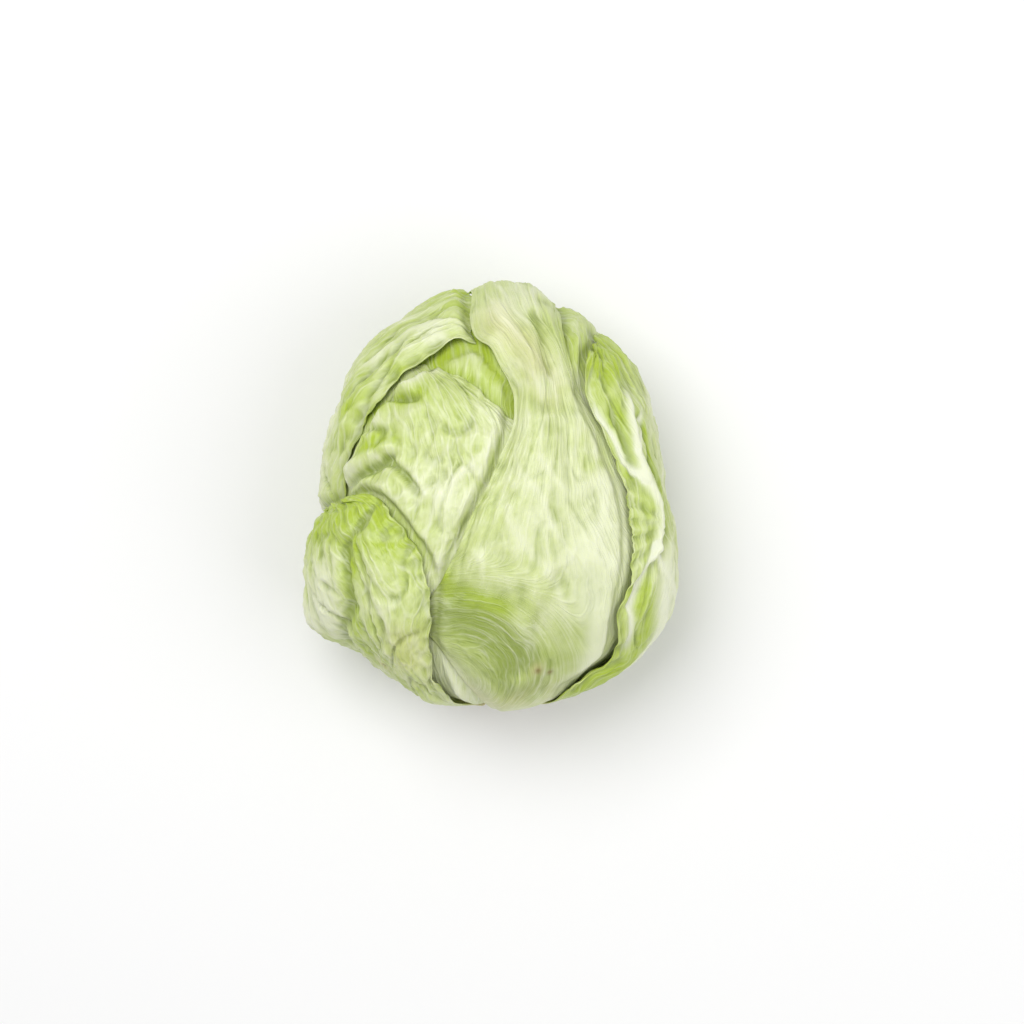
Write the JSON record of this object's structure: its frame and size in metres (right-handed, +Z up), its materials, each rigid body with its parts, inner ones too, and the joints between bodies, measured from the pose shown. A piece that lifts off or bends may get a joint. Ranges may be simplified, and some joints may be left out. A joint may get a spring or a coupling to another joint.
{
  "type": "iceberg lettuce",
  "caption": "Iceberg lettuce head lying on its side: pale green crinkled leaves wrapped in layers round a firm heart, one with a thick white midrib, and a cut stem",
  "frame": {"origin": "middle of the flat spot that the head lies on", "axes": "+Z up, the crown towards +Y and the stem towards -Y"},
  "size_m": [0.1623, 0.1914, 0.1163],
  "materials": {
    "stem_core": "dull cut butt of a stem",
    "heart_leaves": "satin leaf",
    "inner_leaf": "satin leaf",
    "outer_leaf": "satin leaf"
  },
  "bodies": {
    "root": {"stem": "stem_core", "heart": "heart_leaves", "cap_leaf_under": "inner_leaf", "cap_leaf_top": "inner_leaf", "shoulder_leaf": "inner_leaf", "right_under_leaf": "outer_leaf", "left_under_leaf": "outer_leaf", "left_leaf": "outer_leaf", "crown_leaf": "outer_leaf", "front_leaf": "outer_leaf", "ribbed_leaf": "outer_leaf", "bottom_leaf": "outer_leaf", "hood_leaf": "outer_leaf"}
  },
  "joints": []
}
